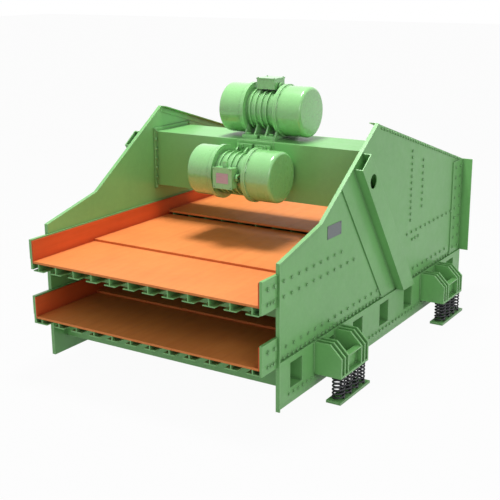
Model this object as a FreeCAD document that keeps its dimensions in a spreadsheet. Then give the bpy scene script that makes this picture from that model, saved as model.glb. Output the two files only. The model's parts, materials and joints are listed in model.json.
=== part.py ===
import FreeCAD, Part
import math
import os
import re
import Sketcher

# Double-deck linear vibrating screen on sixteen coil springs, driven by two vibration motors.
# Millimetres, +Z up.  X runs across the screen, Y from the discharge lip to the feed end.
# The sketches are drawn in "machine" coordinates: Y = 0 at the front edge of the side plates and
# Z = 0 at their lower edge.  Every body is then placed so that the origin is on the floor, under
# the middle of the screen.

SIZES = [
    # side plates: one flat profile, cut back at the front and falling to the feed end
    ("plate_len", 4025, "length of a side plate"),
    ("front_high", 1270, "height of the front edge"),
    ("nose_y", 696, "where the gentle front slope ends, from the front edge"),
    ("nose_z", 1444, "height there"),
    ("apex_y", 1759, "highest point, from the front edge"),
    ("apex_z", 2153, "height of the highest point"),
    ("rear_high", 1471, "height of the rear edge"),
    ("inner_half", 1213, "half the clear width between the side plates"),
    ("plate_thk", 12, "side plate thickness"),
    # edge bar along the front and the two slopes, angle along the falling rear edge
    ("bar_out", 25, "how far the edge bar stands out from the plate"),
    ("bar_thk", 12, "thickness of the edge bar"),
    ("top_leg", 60, "leg of the angle along the rear slope"),
    ("top_thk", 8, "thickness of that angle"),
    # corner angle at the feed end
    ("corner_flat", 280, "leg that lies on the side plate"),
    ("corner_out", 120, "leg that stands out"),
    ("corner_thk", 10, "thickness of the corner angle"),
    # side beam: pressed channel along the foot of each side plate
    ("side_low", 62, "lower edge of the side beam"),
    ("ledge_z", 430, "upper edge of the side beam"),
    ("side_deep", 25, "depth of the side beam"),
    ("side_wall", 9, "wall of the side beam"),
    # lower cross tubes, open through the side beams
    ("tube_first", 165, "front face of the first cross tube"),
    ("tube_pitch", 575, "pitch of the cross tubes"),
    ("tube_count", 7, "number of cross tubes"),
    ("tube_wide", 217, "width of a lower cross tube"),
    ("tube_high", 240, "height of a lower cross tube"),
    ("tube_top", 388, "top of the lower cross tubes"),
    ("tube_wall", 8, "wall of the cross tubes"),
    ("upper_wide", 140, "width of an upper cross tube"),
    ("upper_tall", 150, "height of an upper cross tube"),
    # decks
    ("spout", 230, "overhang of the decks in front of the side plates"),
    ("seam_y", 600, "end of the front panel"),
    ("step_y", 1805, "step up to the feed panel of the upper deck"),
    ("upper_seat", 960, "top of the upper stringers under the front panel"),
    ("lower_seat", 436, "top of the lower stringers under the front panel"),
    ("panel_thk", 20, "thickness of a deck panel"),
    ("seam_step", 20, "rise of the deck at the seam"),
    ("feed_step", 40, "rise of the upper deck at the feed panel"),
    ("rail_count", 12, "stringers under each deck"),
    ("rail_pitch", 206, "pitch of the stringers"),
    ("rail_web", 10, "web of a stringer"),
    ("rail_foot", 120, "width of a stringer's foot"),
    ("rail_foot_thk", 10, "thickness of a stringer's foot"),
    ("upper_foot", 888, "underside of the upper stringers"),
    ("liner_thk", 12, "wear liner thickness"),
    ("liner_gap", 12, "liner top below the cheek top"),
    ("cheek_thk", 12, "deck cheek inside the side plate"),
    ("wing_thk", 28, "cheek thickness in front of the side plate"),
    ("wing_rebate", 5, "rebate of the lower part of the wing"),
    ("upper_cheek_low", 903, "underside of the upper cheek"),
    ("upper_cheek_high", 1180, "top of the upper cheek"),
    ("lower_cheek_high", 650, "top of the lower cheek"),
    ("back_thk", 10, "rear plate thickness"),
    ("back_inset", 30, "rear plate in front of the rear edge"),
    ("back_high", 1350, "top of the rear plate"),
    # diagonal stiffener outside each side plate
    ("stiff_angle", 54, "lean of the stiffener, degrees from level"),
    ("stiff_foot", 1975, "front edge of the doubler at the ledge"),
    ("doubler_wide", 574, "width of the doubler"),
    ("doubler_thk", 12, "thickness of the doubler"),
    ("channel_set", 250, "doubler edge to channel"),
    ("channel_wide", 207, "width of the channel"),
    ("channel_deep", 93, "depth of the channel"),
    ("channel_wall", 10, "wall of the channel"),
    ("channel_gap", 16, "channel end below the edge bar"),
    ("channel_hole", 135, "hole in the channel"),
    ("channel_hole_down", 242, "hole below the channel's upper end"),
    # name plate, left blank
    ("tag_y", 837, "front edge of the name plate"),
    ("tag_z", 1269, "lower edge of the name plate"),
    ("tag_long", 258, "length of the name plate"),
    ("tag_high", 117, "height of the name plate"),
    ("tag_thk", 3, "thickness of the name plate"),
    # spring brackets
    ("bracket_y", 580, "front face of the front bracket"),
    ("bracket_span", 2315, "front bracket to rear bracket"),
    ("bracket_long", 525, "length of a bracket"),
    ("bracket_out", 265, "how far a bracket stands out"),
    ("bracket_low", 138, "underside of a bracket"),
    ("bracket_sole", 20, "sole plate of a bracket"),
    ("bracket_knee", 180, "height of the upright edge of a rib"),
    ("bracket_flat", 153, "level top edge of a rib"),
    ("bracket_rib", 20, "rib thickness"),
    ("bracket_pitch", 62, "rib pitch"),
    ("bracket_tie_set", 62, "tie plate behind the rib edge"),
    ("bracket_tie_thk", 12, "tie plate thickness"),
    # springs and base plates
    ("spring_set", 206, "spring row outside the side beam"),
    ("spring_pitch", 129, "spring pitch"),
    ("spring_count", 4, "springs in a row"),
    ("spring_dia", 118, "outside diameter of a spring"),
    ("spring_wire", 19, "wire of a spring"),
    ("spring_len", 202, "working length of a spring"),
    ("seat_high", 14, "height of a spring seat spigot"),
    ("seat_gap", 4, "spigot to spring, radial"),
    ("base_thk", 24, "base plate thickness"),
    ("base_wide", 140, "base plate width"),
    ("base_long", 578, "base plate length"),
    ("anchor_dia", 18, "anchor bolt hole"),
    ("anchor_edge", 17, "anchor hole from the plate's end"),
    # exciter beam
    ("beam_front", 1645, "front face of the exciter beam"),
    ("beam_deep", 555, "depth of the beam"),
    ("beam_low", 1347, "underside of the beam"),
    ("beam_high", 557, "height of the beam"),
    ("beam_wall", 12, "wall of the beam"),
    ("beam_end", 16, "end flange of the beam"),
    ("beam_margin", 35, "end flange beyond the beam"),
    ("pad_thk", 8, "motor pad on the beam"),
    ("pad_margin", 24, "pad beyond the motor foot"),
    ("top_motor_set", 290, "upper motor axis behind the beam's front face"),
    ("front_motor_up", 290, "lower motor axis above the beam's underside"),
]

MOTOR_SIZES = [
    ("axis_high", 264, "shaft axis above the foot"),
    ("barrel_half", 165, "half length of the barrel between its flanges"),
    ("barrel_rad", 188, "barrel radius between fins"),
    ("fin_tall", 17, "height of a cooling fin"),
    ("fin_thk", 14, "fin thickness"),
    ("fin_pitch", 62, "fin pitch"),
    ("fin_count", 5, "number of fins"),
    ("flange_rad", 258, "flange radius"),
    ("flange_thk", 22, "flange thickness"),
    ("foot_long", 370, "foot along the shaft"),
    ("foot_wide", 474, "foot across the shaft"),
    ("foot_thk", 36, "foot thickness"),
    ("foot_notch", 34, "notch between the two pads of a foot"),
    ("foot_notch_deep", 64, "depth of that notch"),
    ("web_thk", 16, "webs between barrel and foot"),
    ("web_in", 62, "inner webs from the middle"),
    ("web_out", 170, "outer webs from the middle"),
    ("web_half", 205, "half width of the webs at the foot"),
    ("web_lean", 60, "how much narrower the webs are at the barrel, each side"),
    ("web_sink", 16, "webs into the barrel wall, below the rotor space"),
    ("bolt_dia", 30, "foot bolt"),
    ("bolt_gap", 2, "clearance around a foot bolt"),
    ("bolt_x", 130, "foot bolt from the middle, along the shaft"),
    ("bolt_y", 208, "foot bolt from the middle, across"),
    ("bolt_head", 50, "foot bolt head"),
    ("bolt_head_high", 20, "height of the foot bolt head"),
    ("cover_ring", 18, "cover flange thickness"),
    ("cap_rad", 243, "cover radius"),
    ("cap_len", 257, "cover length beyond its flange"),
    ("cap_wall", 8, "cover wall"),
    ("cap_bevel", 26, "bevel of the cover rim"),
    ("shaft_rad", 40, "shaft radius"),
    ("shaft_end", 36, "shaft end inside the cover"),
    ("run_gap", 0.05, "running clearance of the shaft, radial"),
    ("core_rad", 110, "rotor radius"),
    ("core_half", 105, "half length of the rotor"),
    ("air_gap", 2, "air gap around the rotor"),
    ("stroke_angle", 45, "line of the throw above the horizontal, degrees"),
    ("weight_rad", 190, "radius of an eccentric weight"),
    ("weight_hub", 68, "hub radius of an eccentric weight"),
    ("weight_thk", 56, "thickness of an eccentric weight"),
    ("weight_gap", 14, "gap between weights and housing"),
    ("box_long", 200, "terminal box along the shaft"),
    ("box_wide", 190, "terminal box across"),
    ("box_top", 312, "top of the terminal box above the shaft"),
    ("box_lid", 12, "terminal box lid"),
    ("box_lip", 5, "lid beyond the box"),
    ("gland_rad", 28, "cable gland radius"),
    ("gland_long", 58, "cable gland length"),
    ("lug_x", 118, "lifting lug from the middle"),
    ("lug_thk", 24, "lifting lug thickness"),
    ("lug_rad", 34, "lifting lug radius"),
    ("lug_hole", 30, "hole of the lifting lug"),
    ("lug_high", 232, "centre of the lifting lug above the shaft"),
]

# Values that follow from the sizes above.
DERIVED = [
    ("lift", "base_thk + spring_len - bracket_low", "height of Z = 0 above the floor"),
    ("mid_y", "(plate_len - spout) / 2", "middle of the screen"),
    ("plate_out", "inner_half + plate_thk", "outer face of a side plate"),
    ("side_out", "plate_out + side_deep", "outer face of a side beam"),
    ("slope_a", "atan2(nose_z - front_high; nose_y)", "gentle front slope"),
    ("slope_b", "atan2(apex_z - nose_z; apex_y - nose_y)", "steep front slope"),
    ("slope_c", "atan2(apex_z - rear_high; plate_len - apex_y)", "rear slope"),
    ("turn_b", "slope_b - slope_a", "turn at the nose"),
    ("back_y", "plate_len - back_inset - back_thk", "front face of the rear plate"),
    ("liner_in", "inner_half - cheek_thk - liner_thk", "inner face of the liners"),
    ("lean", "stiff_angle * 1 deg", "the stiffener's lean as an angle"),
    ("lean_sin", "sin(stiff_angle)", "its sine"),
    ("lean_cos", "cos(stiff_angle)", "its cosine"),
]


class Sheet:
    """A spreadsheet of named sizes; expressions use the bare names."""

    known = {}

    def __init__(self, doc, name):
        self.cells = doc.addObject("Spreadsheet::Sheet", name)
        self.row = 0

    def add(self, alias, content, note):
        self.row += 1
        self.cells.set("A%d" % self.row, alias)
        self.cells.set("B%d" % self.row, content)
        self.cells.set("C%d" % self.row, note)
        self.cells.setAlias("B%d" % self.row, alias)
        Sheet.known[alias] = self.cells.Name + "." + alias


def ex(text):
    """Turn bare size names into references to the sheets."""
    text = str(text)
    return re.sub(r"[a-z][a-z_]*[a-z]", lambda m: Sheet.known.get(m.group(0), m.group(0)), text)


doc = FreeCAD.newDocument("VibratingScreen")
sizes = Sheet(doc, "Sizes")
for alias, value, note in SIZES:
    sizes.add(alias, str(value), note)
motor_sizes = Sheet(doc, "Motor")
for alias, value, note in MOTOR_SIZES:
    motor_sizes.add(alias, str(value), note)
derived = Sheet(doc, "Derived")
for alias, formula, note in DERIVED:
    derived.add(alias, "=" + ex(formula), note)
doc.recompute()


def num(text):
    """Present value of an expression of sizes."""
    value = sizes.cells.evalExpression(ex(text))
    return float(getattr(value, "Value", value))


# ---------------------------------------------------------------- sketches and features

AXIS_X = FreeCAD.Vector(1, 0, 0)


def body(label, base=("0", "-mid_y", "lift"), turn=None):
    """A new body, placed on the machine's axes or at a point, turned about the X axis."""
    item = doc.addObject("PartDesign::Body", label)
    item.Label = label
    if turn:
        item.Placement = FreeCAD.Placement(FreeCAD.Vector(), FreeCAD.Rotation(AXIS_X, 1))
        item.setExpression("Placement.Rotation.Angle", ex("(%s) * 1 deg" % turn))
    for axis, value in zip("xyz", base):
        item.setExpression("Placement.Base." + axis, ex(value))
    return item


def sketch(item, plane, offset="0"):
    """A sketch on one of the body's own planes, moved along the plane's normal."""
    found = [f for f in item.Origin.OriginFeatures if f.Role == plane + "_Plane"][0]
    sk = item.newObject("Sketcher::SketchObject", item.Name + "_sketch")
    sk.AttachmentSupport = [(found, "")]
    sk.MapMode = "FlatFace"
    sk.setExpression("AttachmentOffset.Base.z", ex(offset))
    return sk


def polygon(sk, points):
    """A closed outline whose corners are bound to expressions."""
    first = sk.GeometryCount
    count = len(points)
    place = [FreeCAD.Vector(num(a), num(b), 0) for a, b in points]
    for i in range(count):
        sk.addGeometry(Part.LineSegment(place[i], place[(i + 1) % count]), False)
    for i in range(count):
        sk.addConstraint(Sketcher.Constraint("Coincident", first + i, 2, first + (i + 1) % count, 1))
    for i, (a, b) in enumerate(points):
        for kind, text, value in (("DistanceX", a, place[i].x), ("DistanceY", b, place[i].y)):
            index = sk.addConstraint(Sketcher.Constraint(kind, -1, 1, first + i, 1, value))
            sk.setExpression("Constraints[%d]" % index, ex(text))
    return sk


def box_outline(sk, low, high):
    """A rectangle between two corners."""
    return polygon(sk, [(low[0], low[1]), (high[0], low[1]), (high[0], high[1]), (low[0], high[1])])


def circle(sk, centre, radius):
    """A circle bound to expressions."""
    place = FreeCAD.Vector(num(centre[0]), num(centre[1]), 0)
    index = sk.addGeometry(Part.Circle(place, FreeCAD.Vector(0, 0, 1), num(radius)), False)
    for kind, text, value in (("DistanceX", centre[0], place.x), ("DistanceY", centre[1], place.y)):
        held = sk.addConstraint(Sketcher.Constraint(kind, -1, 1, index, 3, value))
        sk.setExpression("Constraints[%d]" % held, ex(text))
    held = sk.addConstraint(Sketcher.Constraint("Radius", index, num(radius)))
    sk.setExpression("Constraints[%d]" % held, ex(radius))
    return sk


def pad(item, sk, length, back=False):
    """Extrude a sketch along its normal, or against it."""
    feature = item.newObject("PartDesign::Pad", item.Name + "_pad")
    feature.Profile = sk
    feature.Reversed = back
    feature.setExpression("Length", ex(length))
    sk.Visibility = False
    return feature


def cut(item, sk, length, back=False):
    """Cut a sketch against its normal, or along it; the solid must lose volume."""
    doc.recompute()
    before = item.Tip.Shape.Volume
    feature = item.newObject("PartDesign::Pocket", item.Name + "_cut")
    feature.Profile = sk
    feature.Reversed = back
    feature.setExpression("Length", ex(length))
    doc.recompute()
    if not feature.Shape.Volume < before - 1e-3:
        raise RuntimeError(item.Label + ": a cut removes nothing")
    return feature


def row(item, features, axis, pitch, count, back=False):
    """Repeat features in a straight row along one of the body's axes."""
    found = [f for f in item.Origin.OriginFeatures if f.Role == axis + "_Axis"][0]
    feature = item.newObject("PartDesign::LinearPattern", item.Name + "_row")
    feature.Originals = features
    feature.Direction = (found, [""])
    feature.Reversed = back
    feature.setExpression("Length", ex("(%s) * ((%s) - 1)" % (pitch, count)))
    feature.setExpression("Occurrences", ex(count))
    item.Tip = feature
    return feature


def revolve(item, sk):
    """Turn a profile about the sketch's horizontal axis."""
    feature = item.newObject("PartDesign::Revolution", item.Name + "_turn")
    feature.Profile = sk
    feature.ReferenceAxis = (sk, ["H_Axis"])
    feature.Angle = 360.0
    return feature


def mirrored(source, label):
    """The same piece on the other side of the screen."""
    item = doc.addObject("Part::Mirroring", label)
    item.Label = label
    item.Source = source
    item.Normal = (1, 0, 0)
    item.Base = (0, 0, 0)
    return item


nodes = []


def both_sides(right):
    """Keep a right-hand piece and its mirror image."""
    nodes.append(right)
    nodes.append(mirrored(right, right.Label.replace("right", "left")))


# ---------------------------------------------------------------- side plates

def make_side_plate():
    item = body("side_plate_right")
    outline = polygon(sketch(item, "YZ", "inner_half"), [
        ("0", "0"), ("plate_len", "0"), ("plate_len", "rear_high"),
        ("apex_y", "apex_z"), ("nose_y", "nose_z"), ("0", "front_high")])
    pad(item, outline, "plate_thk")
    window = box_outline(sketch(item, "YZ", "plate_out"),
                         ("tube_first", "tube_top - tube_high"),
                         ("tube_first + tube_wide", "tube_top"))
    row(item, [cut(item, window, "plate_thk")], "Y", "tube_pitch", "tube_count")
    both_sides(item)


def make_edge_bar():
    """Flat bar on edge, following the front edge and both slopes without a break."""
    item = body("edge_bar_right")
    share_a = "bar_thk * cos(slope_a) / (1 + sin(slope_a))"
    share_b = "bar_thk / (1 + cos(turn_b))"
    outline = polygon(sketch(item, "YZ", "plate_out"), [
        ("0", "0"), ("0", "front_high"), ("nose_y", "nose_z"), ("apex_y", "apex_z"),
        ("apex_y + bar_thk * sin(slope_b)", "apex_z - bar_thk * cos(slope_b)"),
        ("nose_y + %s * (sin(slope_a) + sin(slope_b))" % share_b,
         "nose_z - %s * (cos(slope_a) + cos(slope_b))" % share_b),
        ("bar_thk", "front_high - %s" % share_a),
        ("bar_thk", "0")])
    pad(item, outline, "bar_out")
    both_sides(item)


def make_top_angle():
    """Angle inside the plate along the rear slope: one leg bolted, one leg level with the edge."""
    item = body("top_angle_right")

    def band(width):
        return [("apex_y", "apex_z"), ("plate_len", "rear_high"),
                ("plate_len - (%s) * sin(slope_c)" % width, "rear_high - (%s) * cos(slope_c)" % width),
                ("apex_y - (%s) * sin(slope_c)" % width, "apex_z - (%s) * cos(slope_c)" % width)]

    pad(item, polygon(sketch(item, "YZ", "inner_half"), band("top_leg")), "top_thk", back=True)
    pad(item, polygon(sketch(item, "YZ", "inner_half - top_thk"), band("top_thk")),
        "top_leg - top_thk", back=True)
    both_sides(item)


def make_corner_angle():
    """Upright angle at the feed end, standing on the side beam."""
    item = body("corner_angle_right")
    outline = polygon(sketch(item, "XY", "ledge_z"), [
        ("plate_out", "plate_len - corner_flat"), ("plate_out + corner_thk", "plate_len - corner_flat"),
        ("plate_out + corner_thk", "plate_len - corner_thk"),
        ("plate_out + corner_out", "plate_len - corner_thk"),
        ("plate_out + corner_out", "plate_len"), ("plate_out", "plate_len")])
    pad(item, outline, "rear_high - ledge_z")
    both_sides(item)


def make_side_beam():
    """Channel with its open side on the plate, and a window at each cross tube."""
    item = body("side_beam_right")
    outline = polygon(sketch(item, "XZ", "-bar_thk"), [
        ("plate_out", "side_low"), ("side_out", "side_low"), ("side_out", "ledge_z"),
        ("plate_out", "ledge_z"), ("plate_out", "ledge_z - side_wall"),
        ("side_out - side_wall", "ledge_z - side_wall"), ("side_out - side_wall", "side_low + side_wall"),
        ("plate_out", "side_low + side_wall")])
    pad(item, outline, "plate_len - bar_thk", back=True)
    window = box_outline(sketch(item, "YZ", "side_out"),
                         ("tube_first + tube_wall", "tube_top - tube_high + tube_wall"),
                         ("tube_first + tube_wide - tube_wall", "tube_top - tube_wall"))
    row(item, [cut(item, window, "side_wall")], "Y", "tube_pitch", "tube_count")
    both_sides(item)


def stiff_point(across, along):
    """A point of the stiffener: across from its front edge, then along its lean."""
    return ("stiff_foot + (%s) / lean_sin - lean_cos * (%s)" % (across, along),
            "ledge_z + lean_sin * (%s)" % along)


def stiff_reach(across):
    """Length along the lean, from the ledge to the underside of the edge bar."""
    return ("((stiff_foot + (%s) / lean_sin - nose_y) * sin(slope_b) + (nose_z - ledge_z) * cos(slope_b)"
            " - bar_thk) / sin(lean + slope_b)" % across)


def make_stiffener():
    """Doubler plate with an open-ended channel on it, leaning towards the discharge."""
    item = body("stiffener_right")
    doubler = polygon(sketch(item, "YZ", "plate_out"), [
        stiff_point("0", "0"), stiff_point("doubler_wide", "0"),
        stiff_point("doubler_wide", stiff_reach("doubler_wide")), stiff_point("0", stiff_reach("0"))])
    pad(item, doubler, "doubler_thk")

    length = stiff_reach("channel_set") + " - channel_gap"

    def square_end(across, more):
        """The upper end is cut square to the channel."""
        y, z = stiff_point("channel_set", "%s + (%s)" % (length, more))
        return ("%s + (%s) * lean_sin" % (y, across), "%s + (%s) * lean_cos" % (z, across))

    channel = polygon(sketch(item, "YZ", "plate_out + doubler_thk"), [
        stiff_point("channel_set", "0"), stiff_point("channel_set + channel_wide", "0"),
        square_end("channel_wide", "0"), square_end("0", "0")])
    pad(item, channel, "channel_deep")
    inside = polygon(sketch(item, "YZ", "plate_out + doubler_thk"), [
        stiff_point("channel_set + channel_wall", "-channel_wide"),
        stiff_point("channel_set + channel_wide - channel_wall", "-channel_wide"),
        square_end("channel_wide - channel_wall", "channel_wide"),
        square_end("channel_wall", "channel_wide")])
    cut(item, inside, "channel_deep - channel_wall", back=True)
    hole = sketch(item, "YZ", "plate_out + doubler_thk + channel_deep")
    circle(hole, square_end("channel_wide / 2", "-channel_hole_down"), "channel_hole / 2")
    cut(item, hole, "channel_wall")
    both_sides(item)


def make_name_plate():
    item = body("name_plate")
    outline = box_outline(sketch(item, "YZ", "plate_out"),
                          ("tag_y", "tag_z"), ("tag_y + tag_long", "tag_z + tag_high"))
    pad(item, outline, "tag_thk")
    nodes.append(item)


# ---------------------------------------------------------------- cross members and decks

def make_cross_tubes():
    """Square tubes across the screen; the lower ones pass through the side plates."""
    item = body("lower_cross_tubes")
    tube = sketch(item, "YZ", "-(side_out - side_wall)")
    box_outline(tube, ("tube_first", "tube_top - tube_high"), ("tube_first + tube_wide", "tube_top"))
    box_outline(tube, ("tube_first + tube_wall", "tube_top - tube_high + tube_wall"),
                ("tube_first + tube_wide - tube_wall", "tube_top - tube_wall"))
    row(item, [pad(item, tube, "2 * (side_out - side_wall)")], "Y", "tube_pitch", "tube_count")
    nodes.append(item)

    item = body("upper_cross_tubes")
    tube = sketch(item, "YZ", "-inner_half")
    front = "tube_first + (tube_wide - upper_wide) / 2"
    box_outline(tube, (front, "upper_foot - upper_tall"), (front + " + upper_wide", "upper_foot"))
    box_outline(tube, (front + " + tube_wall", "upper_foot - upper_tall + tube_wall"),
                (front + " + upper_wide - tube_wall", "upper_foot - tube_wall"))
    row(item, [pad(item, tube, "2 * inner_half")], "Y", "tube_pitch", "tube_count")
    nodes.append(item)


def make_stringers(label, foot, web_top):
    """Tee sections along the screen, their webs stepped to carry the panels."""
    item = body(label)
    first = "-rail_pitch * (rail_count - 1) / 2"
    sole = box_outline(sketch(item, "YZ", "%s - rail_foot / 2" % first),
                       ("-spout", foot), ("back_y", "%s + rail_foot_thk" % foot))
    one = pad(item, sole, "rail_foot")
    web = polygon(sketch(item, "YZ", "%s - rail_web / 2" % first),
                  [("-spout", "%s + rail_foot_thk" % foot), ("back_y", "%s + rail_foot_thk" % foot)]
                  + web_top)
    two = pad(item, web, "rail_web")
    row(item, [one, two], "X", "rail_pitch", "rail_count")
    nodes.append(item)


def make_panel(label, start, end, low, high):
    """One deck panel, from liner to liner."""
    item = body(label)
    outline = box_outline(sketch(item, "YZ", "-liner_in"), (start, low), (end, high))
    pad(item, outline, "2 * liner_in")
    nodes.append(item)


def make_decks():
    main = "upper_seat + seam_step"
    feed = "upper_seat + seam_step + feed_step"
    make_stringers("upper_stringers", "upper_foot", [
        ("back_y", feed), ("step_y", feed), ("step_y", main), ("seam_y", main),
        ("seam_y", "upper_seat"), ("-spout", "upper_seat")])
    make_panel("upper_panel_front", "-spout", "seam_y", "upper_seat", "upper_seat + panel_thk")
    make_panel("upper_panel_middle", "seam_y", "step_y", main, main + " + panel_thk")
    make_panel("upper_panel_feed", "step_y", "back_y", feed, feed + " + panel_thk")
    lower = "lower_seat + seam_step"
    make_stringers("lower_stringers", "tube_top", [
        ("back_y", lower), ("seam_y", lower), ("seam_y", "lower_seat"), ("-spout", "lower_seat")])
    make_panel("lower_panel_front", "-spout", "seam_y", "lower_seat", "lower_seat + panel_thk")
    make_panel("lower_panel_main", "seam_y", "back_y", lower, lower + " + panel_thk")


def make_cheek(label, low, high, deck):
    """Cheek that carries a liner: thick in front of the side plate, thin inside it."""
    item = body(label)
    inner = "inner_half - cheek_thk"
    outline = polygon(sketch(item, "XY", low), [
        (inner, "-spout"), ("inner_half + wing_thk - cheek_thk", "-spout"),
        ("inner_half + wing_thk - cheek_thk", "0"), ("inner_half", "0"), ("inner_half", "back_y"),
        (inner, "back_y")])
    pad(item, outline, "(%s) - (%s)" % (high, low))
    rebate = box_outline(sketch(item, "XY", low), ("inner_half + wing_thk - cheek_thk - wing_rebate",
                                                   "-spout - 1"),
                         ("inner_half + wing_thk", "1"))
    cut(item, rebate, "(%s) - (%s)" % (deck, low), back=True)
    both_sides(item)


def make_liner(label, low, high):
    item = body(label)
    outline = box_outline(sketch(item, "YZ", "liner_in"), ("-spout", low), ("back_y", high))
    pad(item, outline, "liner_thk")
    both_sides(item)


def make_cheeks():
    make_cheek("upper_cheek_right", "upper_cheek_low", "upper_cheek_high", "upper_seat + 2 * panel_thk")
    make_cheek("lower_cheek_right", "tube_top", "lower_cheek_high", "lower_seat + 2 * panel_thk")
    make_liner("upper_liner_right", "upper_seat", "upper_cheek_high - liner_gap")
    make_liner("lower_liner_right", "lower_seat", "lower_cheek_high - liner_gap")


def make_back_plate():
    """Rear plate closing the feed end behind both decks, stiffened by two flats."""
    item = body("back_plate")
    outline = box_outline(sketch(item, "XZ", "-back_y"),
                          ("-inner_half", "tube_top"), ("inner_half", "back_high"))
    pad(item, outline, "back_thk", back=True)
    flat = box_outline(sketch(item, "XZ", "-(back_y + back_thk)"),
                       ("-inner_half", "lower_cheek_high"), ("inner_half", "lower_cheek_high + back_thk"))
    one = pad(item, flat, "back_inset", back=True)
    row(item, [one], "Z", "(back_high - lower_cheek_high) / 2", "2")
    nodes.append(item)


# ---------------------------------------------------------------- spring brackets, springs, bases

def make_bracket(label, start):
    """Welded bracket: two packs of ribs on a sole plate, with a tie plate between them."""
    item = body(label)
    out = "side_out + bracket_out"
    floor = "bracket_low + bracket_sole"
    rib = polygon(sketch(item, "XZ", "-(%s)" % start), [
        ("side_out", floor), (out, floor), (out, "bracket_low + bracket_knee"),
        ("side_out + bracket_flat", "ledge_z"), ("side_out", "ledge_z")])
    first = pad(item, rib, "bracket_rib", back=True)
    doc.recompute()
    near = row(item, [first], "Y", "bracket_pitch", "3")
    far = row(item, [first], "Y", "bracket_long - bracket_rib", "2")
    far_two = row(item, [first], "Y", "bracket_long - bracket_rib - bracket_pitch", "2")
    far_three = row(item, [first], "Y", "bracket_long - bracket_rib - 2 * bracket_pitch", "2")
    sole = box_outline(sketch(item, "XY", "bracket_low"), ("side_out", start),
                       (out, "%s + bracket_long" % start))
    pad(item, sole, "bracket_sole")
    tie = polygon(sketch(item, "XZ", "-(%s + 2 * bracket_pitch + bracket_rib)" % start), [
        (out + " - bracket_tie_set", floor), (out + " - bracket_tie_set + bracket_tie_thk", floor),
        (out + " - bracket_tie_set + bracket_tie_thk", "bracket_low + bracket_knee - bracket_tie_thk"),
        (out, "bracket_low + bracket_knee - bracket_tie_thk"), (out, "bracket_low + bracket_knee"),
        (out + " - bracket_tie_set", "bracket_low + bracket_knee")])
    pad(item, tie, "bracket_long - 4 * bracket_pitch - 2 * bracket_rib", back=True)
    spigot = sketch(item, "XY", "bracket_low")
    centre = "%s + bracket_long / 2 - spring_pitch * (spring_count - 1) / 2" % start
    circle(spigot, ("side_out + spring_set", centre), "spring_dia / 2 - spring_wire - seat_gap")
    seat = pad(item, spigot, "seat_high", back=True)
    row(item, [seat], "Y", "spring_pitch", "spring_count")
    both_sides(item)


def make_base(label, start):
    """Base plate with a spigot for each spring and an anchor hole at each end."""
    item = body(label)
    middle = "%s + bracket_long / 2" % start
    low = "bracket_low - spring_len - base_thk"
    out = "side_out + spring_set"
    plate = box_outline(sketch(item, "XY", low), (out + " - base_wide / 2", middle + " - base_long / 2"),
                        (out + " + base_wide / 2", middle + " + base_long / 2"))
    pad(item, plate, "base_thk")
    spigot = sketch(item, "XY", "bracket_low - spring_len")
    circle(spigot, (out, middle + " - spring_pitch * (spring_count - 1) / 2"),
           "spring_dia / 2 - spring_wire - seat_gap")
    row(item, [pad(item, spigot, "seat_high")], "Y", "spring_pitch", "spring_count")
    holes = sketch(item, "XY", "bracket_low - spring_len")
    for sign in "+-":
        circle(holes, (out, "%s %s (base_long / 2 - anchor_edge)" % (middle, sign)), "anchor_dia / 2")
    cut(item, holes, "base_thk")
    both_sides(item)


def make_springs(label, start):
    """Row of coil springs under a bracket, each as the sleeve that its coil fills."""
    item = body(label)
    first = "%s + bracket_long / 2 - spring_pitch * (spring_count - 1) / 2" % start
    outline = sketch(item, "XY", "bracket_low - spring_len")
    for radius in ("spring_dia / 2", "spring_dia / 2 - spring_wire"):
        circle(outline, ("side_out + spring_set", first), radius)
    row(item, [pad(item, outline, "spring_len")], "Y", "spring_pitch", "spring_count")
    both_sides(item)


# ---------------------------------------------------------------- exciter beam

def make_exciter_beam():
    """Box girder bolted between the side plates, with a pad for each motor."""
    item = body("exciter_beam")
    half = "inner_half - beam_end"
    rear = "beam_front + beam_deep"
    top = "beam_low + beam_high"
    shell = sketch(item, "YZ", "-(%s)" % half)
    box_outline(shell, ("beam_front", "beam_low"), (rear, top))
    box_outline(shell, ("beam_front + beam_wall", "beam_low + beam_wall"),
                (rear + " - beam_wall", top + " - beam_wall"))
    pad(item, shell, "2 * (%s)" % half)
    for offset, back in ((half, False), ("-(%s)" % half, True)):
        end = box_outline(sketch(item, "YZ", offset),
                          ("beam_front - beam_margin", "beam_low - beam_margin"),
                          (rear + " + beam_margin", top + " + beam_margin"))
        pad(item, end, "beam_end", back=back)
    axis = "beam_front + top_motor_set"
    reach = "foot_wide / 2 + pad_margin"
    run = "foot_long / 2 + pad_margin"
    upper = box_outline(sketch(item, "XY", top), ("-(%s)" % run, "%s - (%s)" % (axis, reach)),
                        (run, "%s + (%s)" % (axis, reach)))
    pad(item, upper, "pad_thk")
    level = "beam_low + front_motor_up"
    lower = box_outline(sketch(item, "XZ", "-beam_front"), ("-(%s)" % run, "%s - (%s)" % (level, reach)),
                        (run, "%s + (%s)" % (level, reach)))
    pad(item, lower, "pad_thk")
    nodes.append(item)


# ---------------------------------------------------------------- vibration motors

def ring(item, plane, inner, outer, start, end):
    """Revolve a rectangle about the shaft."""
    outline = box_outline(sketch(item, plane), (start, inner), (end, outer))
    return revolve(item, outline)


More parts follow.
